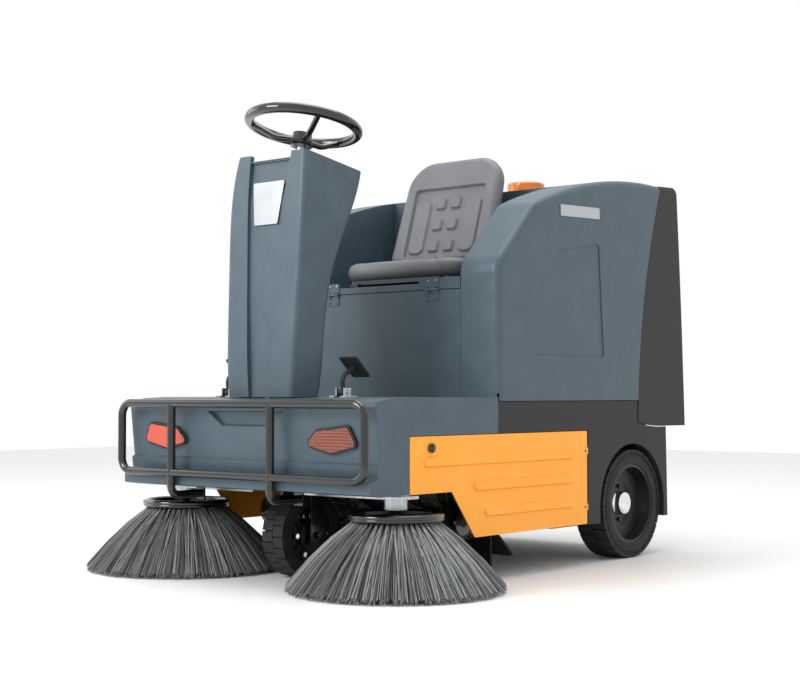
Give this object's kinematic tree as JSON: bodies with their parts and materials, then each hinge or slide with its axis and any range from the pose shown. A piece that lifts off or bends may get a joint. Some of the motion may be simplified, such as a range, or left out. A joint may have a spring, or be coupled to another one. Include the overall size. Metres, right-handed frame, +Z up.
{
  "type": "ride-on floor sweeper",
  "caption": "ride-on floor sweeper with two side brooms, a roller broom behind side doors, pull-out rear hopper, steered front wheel and operator seat",
  "frame": {"origin": "centre of the footprint on the floor", "axes": "+Y runs to the rear, +X to the driver's left, +Z up"},
  "size_m": [1.314, 1.6025, 1.2423],
  "materials": {
    "grey_paint": "satin",
    "grey_shell": "satin",
    "orange_paint": "satin",
    "black_frame": "gloss",
    "dark_plastic": "matte",
    "gloss_black": "gloss",
    "tyre_rubber": "matte",
    "flap_rubber": "matte",
    "wheel_rim": "satin",
    "zinc_steel": "brushed",
    "chain_steel": "oiled",
    "bristle_nylon": "matte",
    "amber_lens": "clear",
    "beacon_amber": "clear",
    "seat_vinyl": "grained",
    "red_plastic": "gloss",
    "battery_case": "matte",
    "filter_paper": "matte",
    "badge_plate": "satin"
  },
  "bodies": {
    "chassis": {"main_frame": "black_frame", "front_housing": "grey_paint", "front_guard": "black_frame", "light_bezels": "dark_plastic", "light_lenses": "amber_lens", "column_cowl": "grey_shell", "dash_panel": "dark_plastic", "battery_gauge": "gloss_black", "head_bearings": "zinc_steel", "steering_chain": "chain_steel", "rear_axles": "zinc_steel", "pedal_brackets": "zinc_steel", "rear_shell": "grey_shell", "badges": "badge_plate", "seat_box_panel": "grey_paint", "lid_hinges": "grey_paint", "side_skirts": "dark_plastic", "beacon_base": "dark_plastic", "beacon_lens": "beacon_amber", "batteries": "battery_case", "broom_flaps": "flap_rubber", "dust_filter": "filter_paper", "suction_fan": "zinc_steel"},
    "steering": {"steering_wheel": "gloss_black", "steering_shaft": "zinc_steel"},
    "stub": {"sprocket_stub": "zinc_steel"},
    "fork": {"front_fork": "black_frame"},
    "front_wheel": {"front_rim": "wheel_rim", "front_tyre": "tyre_rubber"},
    "rear_wheel_left": {"rear_tyre_left": "tyre_rubber", "rear_rim_left": "wheel_rim"},
    "broom_lift_left": {"broom_arm_left": "zinc_steel"},
    "side_broom_left": {"broom_plate_left": "gloss_black", "side_bristles_left": "bristle_nylon"},
    "door_left": {"side_door_left": "orange_paint"},
    "latch_left": {"door_latch_left": "gloss_black"},
    "pedal_lever_left": {"pedal_left": "flap_rubber"},
    "rear_wheel_right": {"rear_tyre_right": "tyre_rubber", "rear_rim_right": "wheel_rim"},
    "broom_lift_right": {"broom_arm_right": "zinc_steel"},
    "side_broom_right": {"broom_plate_right": "gloss_black", "side_bristles_right": "bristle_nylon"},
    "door_right": {"side_door_right": "orange_paint"},
    "latch_right": {"door_latch_right": "gloss_black"},
    "pedal_lever_right": {"pedal_right": "flap_rubber"},
    "main_arms": {"main_broom_arms": "black_frame"},
    "main_broom": {"main_broom_core": "dark_plastic", "main_bristles": "bristle_nylon"},
    "lid": {"seat_lid": "grey_paint", "seat_rails": "black_frame"},
    "seat": {"seat_pan": "black_frame", "seat_cushion": "seat_vinyl", "seat_backrest": "seat_vinyl"},
    "key": {"key_switch": "zinc_steel"},
    "light_rocker": {"light_switch": "gloss_black"},
    "fan_rocker": {"fan_switch": "gloss_black"},
    "stop_button": {"emergency_stop": "red_plastic"},
    "hopper": {"dust_hopper": "dark_plastic"},
    "cover": {"rear_cover": "dark_plastic"}
  },
  "joints": [
    {"name": "steering_turn", "type": "hinge", "parent": "chassis", "child": "steering", "pos_m": [0, -0.4565, 1.202], "axis": [0, 0.1805, 0.9836], "range_deg": [-240, 240]},
    {"name": "stub_turn", "type": "hinge", "parent": "chassis", "child": "stub", "pos_m": [0, -0.5861, 0.46], "axis": [0, 0, 1], "range_deg": [-240, 240]},
    {"name": "fork_turn", "type": "hinge", "parent": "chassis", "child": "fork", "pos_m": [0, -0.4595, 0.3], "axis": [0, 0, 1], "range_deg": [-60, 60]},
    {"name": "front_wheel_roll", "type": "hinge", "parent": "fork", "child": "front_wheel", "pos_m": [0, -0.4595, 0.113], "axis": [1, 0, 0], "continuous": true},
    {"name": "rear_wheel_roll_left", "type": "hinge", "parent": "chassis", "child": "rear_wheel_left", "pos_m": [0.383, 0.5, 0.16], "axis": [1, 0, 0], "continuous": true},
    {"name": "broom_lift_turn_left", "type": "hinge", "parent": "chassis", "child": "broom_lift_left", "pos_m": [0.095, -0.5255, 0.3], "axis": [0, -1, 0], "range_deg": [0, 6]},
    {"name": "side_broom_spin_left", "type": "hinge", "parent": "broom_lift_left", "child": "side_broom_left", "pos_m": [0.382, -0.5255, 0.18], "axis": [0, 0, 1], "continuous": true},
    {"name": "door_swing_left", "type": "hinge", "parent": "chassis", "child": "door_left", "pos_m": [0.4405, 0.2415, 0.25], "axis": [0, 0, 1], "range_deg": [0, 95]},
    {"name": "latch_turn_left", "type": "hinge", "parent": "door_left", "child": "latch_left", "pos_m": [0.4445, -0.4655, 0.351], "axis": [1, 0, 0], "range_deg": [0, 90]},
    {"name": "pedal_press_left", "type": "hinge", "parent": "chassis", "child": "pedal_lever_left", "pos_m": [0.21, -0.5295, 0.488], "axis": [1, 0, 0], "range_deg": [0, 12], "stiffness_Nm_per_rad": 2},
    {"name": "rear_wheel_roll_right", "type": "hinge", "parent": "chassis", "child": "rear_wheel_right", "pos_m": [-0.383, 0.5, 0.16], "axis": [1, 0, 0], "continuous": true},
    {"name": "broom_lift_turn_right", "type": "hinge", "parent": "chassis", "child": "broom_lift_right", "pos_m": [-0.095, -0.5255, 0.3], "axis": [0, 1, 0], "range_deg": [0, 6]},
    {"name": "side_broom_spin_right", "type": "hinge", "parent": "broom_lift_right", "child": "side_broom_right", "pos_m": [-0.382, -0.5255, 0.18], "axis": [0, 0, 1], "continuous": true},
    {"name": "door_swing_right", "type": "hinge", "parent": "chassis", "child": "door_right", "pos_m": [-0.4405, 0.2415, 0.25], "axis": [0, 0, -1], "range_deg": [0, 95]},
    {"name": "latch_turn_right", "type": "hinge", "parent": "door_right", "child": "latch_right", "pos_m": [-0.4445, -0.4655, 0.351], "axis": [-1, 0, 0], "range_deg": [0, 90]},
    {"name": "pedal_press_right", "type": "hinge", "parent": "chassis", "child": "pedal_lever_right", "pos_m": [-0.21, -0.5295, 0.488], "axis": [1, 0, 0], "range_deg": [0, 12], "stiffness_Nm_per_rad": 2},
    {"name": "main_arms_lift", "type": "hinge", "parent": "chassis", "child": "main_arms", "pos_m": [0, 0.03, 0.33], "axis": [-1, 0, 0], "range_deg": [0, 8]},
    {"name": "main_broom_spin", "type": "hinge", "parent": "main_arms", "child": "main_broom", "pos_m": [0, -0.18, 0.1415], "axis": [1, 0, 0], "continuous": true},
    {"name": "lid_lift", "type": "hinge", "parent": "chassis", "child": "lid", "pos_m": [0, -0.1875, 0.767], "axis": [1, 0, 0], "range_deg": [0, 45]},
    {"name": "seat_slide", "type": "slide", "parent": "lid", "child": "seat", "axis": [0, 1, 0], "range_m": [-0.08, 0.03]},
    {"name": "key_turn", "type": "hinge", "parent": "chassis", "child": "key", "pos_m": [-0.084, -0.4718, 1.0644], "axis": [0, 0.225, 0.9744], "range_deg": [0, 90]},
    {"name": "light_rock", "type": "hinge", "parent": "chassis", "child": "light_rocker", "pos_m": [0.084, -0.52986, 1.07936], "axis": [0, 0.9744, -0.225], "range_deg": [-3, 3]},
    {"name": "fan_rock", "type": "hinge", "parent": "chassis", "child": "fan_rocker", "pos_m": [0.084, -0.49096, 1.07036], "axis": [0, 0.9744, -0.225], "range_deg": [-3, 3]},
    {"name": "stop_press", "type": "slide", "parent": "chassis", "child": "stop_button", "axis": [0, -0.225, -0.9744], "range_m": [0, 0.004], "stiffness_N_per_m": 400},
    {"name": "hopper_pull", "type": "slide", "parent": "chassis", "child": "hopper", "axis": [0, 1, 0], "range_m": [0, 0.45]},
    {"name": "cover_lift", "type": "hinge", "parent": "chassis", "child": "cover", "pos_m": [0, 0.657, 1.127], "axis": [1, 0, 0], "range_deg": [0, 60]}
  ],
  "couplings": [
    {"joint": "stub_turn", "follows": "steering_turn", "ratio": 1},
    {"joint": "fork_turn", "follows": "steering_turn", "ratio": 0.25}
  ]
}
